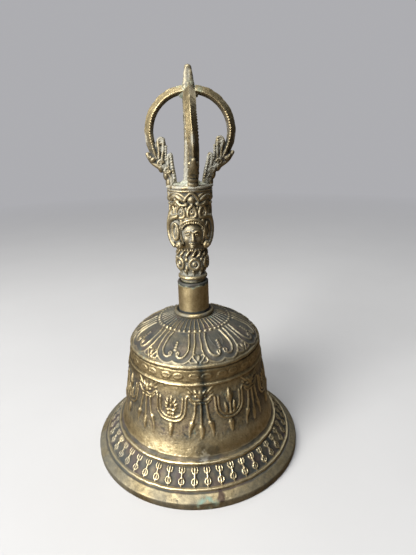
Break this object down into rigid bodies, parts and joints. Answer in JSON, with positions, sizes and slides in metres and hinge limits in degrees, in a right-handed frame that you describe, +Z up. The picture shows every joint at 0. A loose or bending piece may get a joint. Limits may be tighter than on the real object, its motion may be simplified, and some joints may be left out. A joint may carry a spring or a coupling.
{
  "type": "ritual hand bell",
  "caption": "Cast hand bell for ritual use: held by its slim figured handle and swung so that the jointed clapper inside strikes the flared wall and it rings.",
  "frame": {"origin": "centre of the bell's mouth, on the plane of its rim", "axes": "+Z up the bell's axis towards the spear tip; the face on the handle looks along -Y; +X to the right of a viewer who looks at the face"},
  "size_m": [0.098, 0.098, 0.1695],
  "materials": {
    "bell_bronze": "aged cast bell bronze, rubbed pale on the high relief and dark grey green in the recesses",
    "crown_brass": "rubbed cast brass",
    "sleeve_brass": "dull brown drawn tube",
    "pitch": "hard dark resin",
    "washer_brass": "dull turned brass",
    "nut_steel": "dark oxidised steel",
    "bolt_iron": "forged iron with a dark brown oxide",
    "head_brass": "aged cast brass with dark hollows",
    "vajra_brass": "aged cast brass with green deposits at the joints",
    "solder": "grey green corroded soft solder",
    "link_iron": "forged iron wire, worn bright where it bears",
    "clapper_iron": "forged iron with a dark brown oxide",
    "bob_brass": "cast brass, worn bright round its middle"
  },
  "bodies": {
    "bell": {"bell_shell": "bell_bronze", "crown_ring": "crown_brass", "neck_sleeve": "sleeve_brass", "pitch_filling": "pitch", "clamp_washer": "washer_brass", "clamp_nut": "nut_steel", "tie_bolt": "bolt_iron", "handle_head": "head_brass", "centre_spike": "vajra_brass", "root_solder": "solder", "tip_solder": "solder", "vajra_prong_right": "vajra_brass", "vajra_prong_rear": "vajra_brass", "vajra_prong_left": "vajra_brass", "vajra_prong_front": "vajra_brass"},
    "link": {"clapper_link": "link_iron"},
    "clapper": {"clapper_rod": "clapper_iron", "clapper_bob": "bob_brass"}
  },
  "joints": [
    {"name": "link_swing", "type": "hinge", "parent": "bell", "child": "link", "pos_m": [0, 0, 0.0505], "axis": [1, 0, 0], "range_deg": [-38, 38]},
    {"name": "clapper_swing", "type": "hinge", "parent": "link", "child": "clapper", "pos_m": [0, 0, 0.0446], "axis": [0, 1, 0], "range_deg": [-12, 12]}
  ]
}
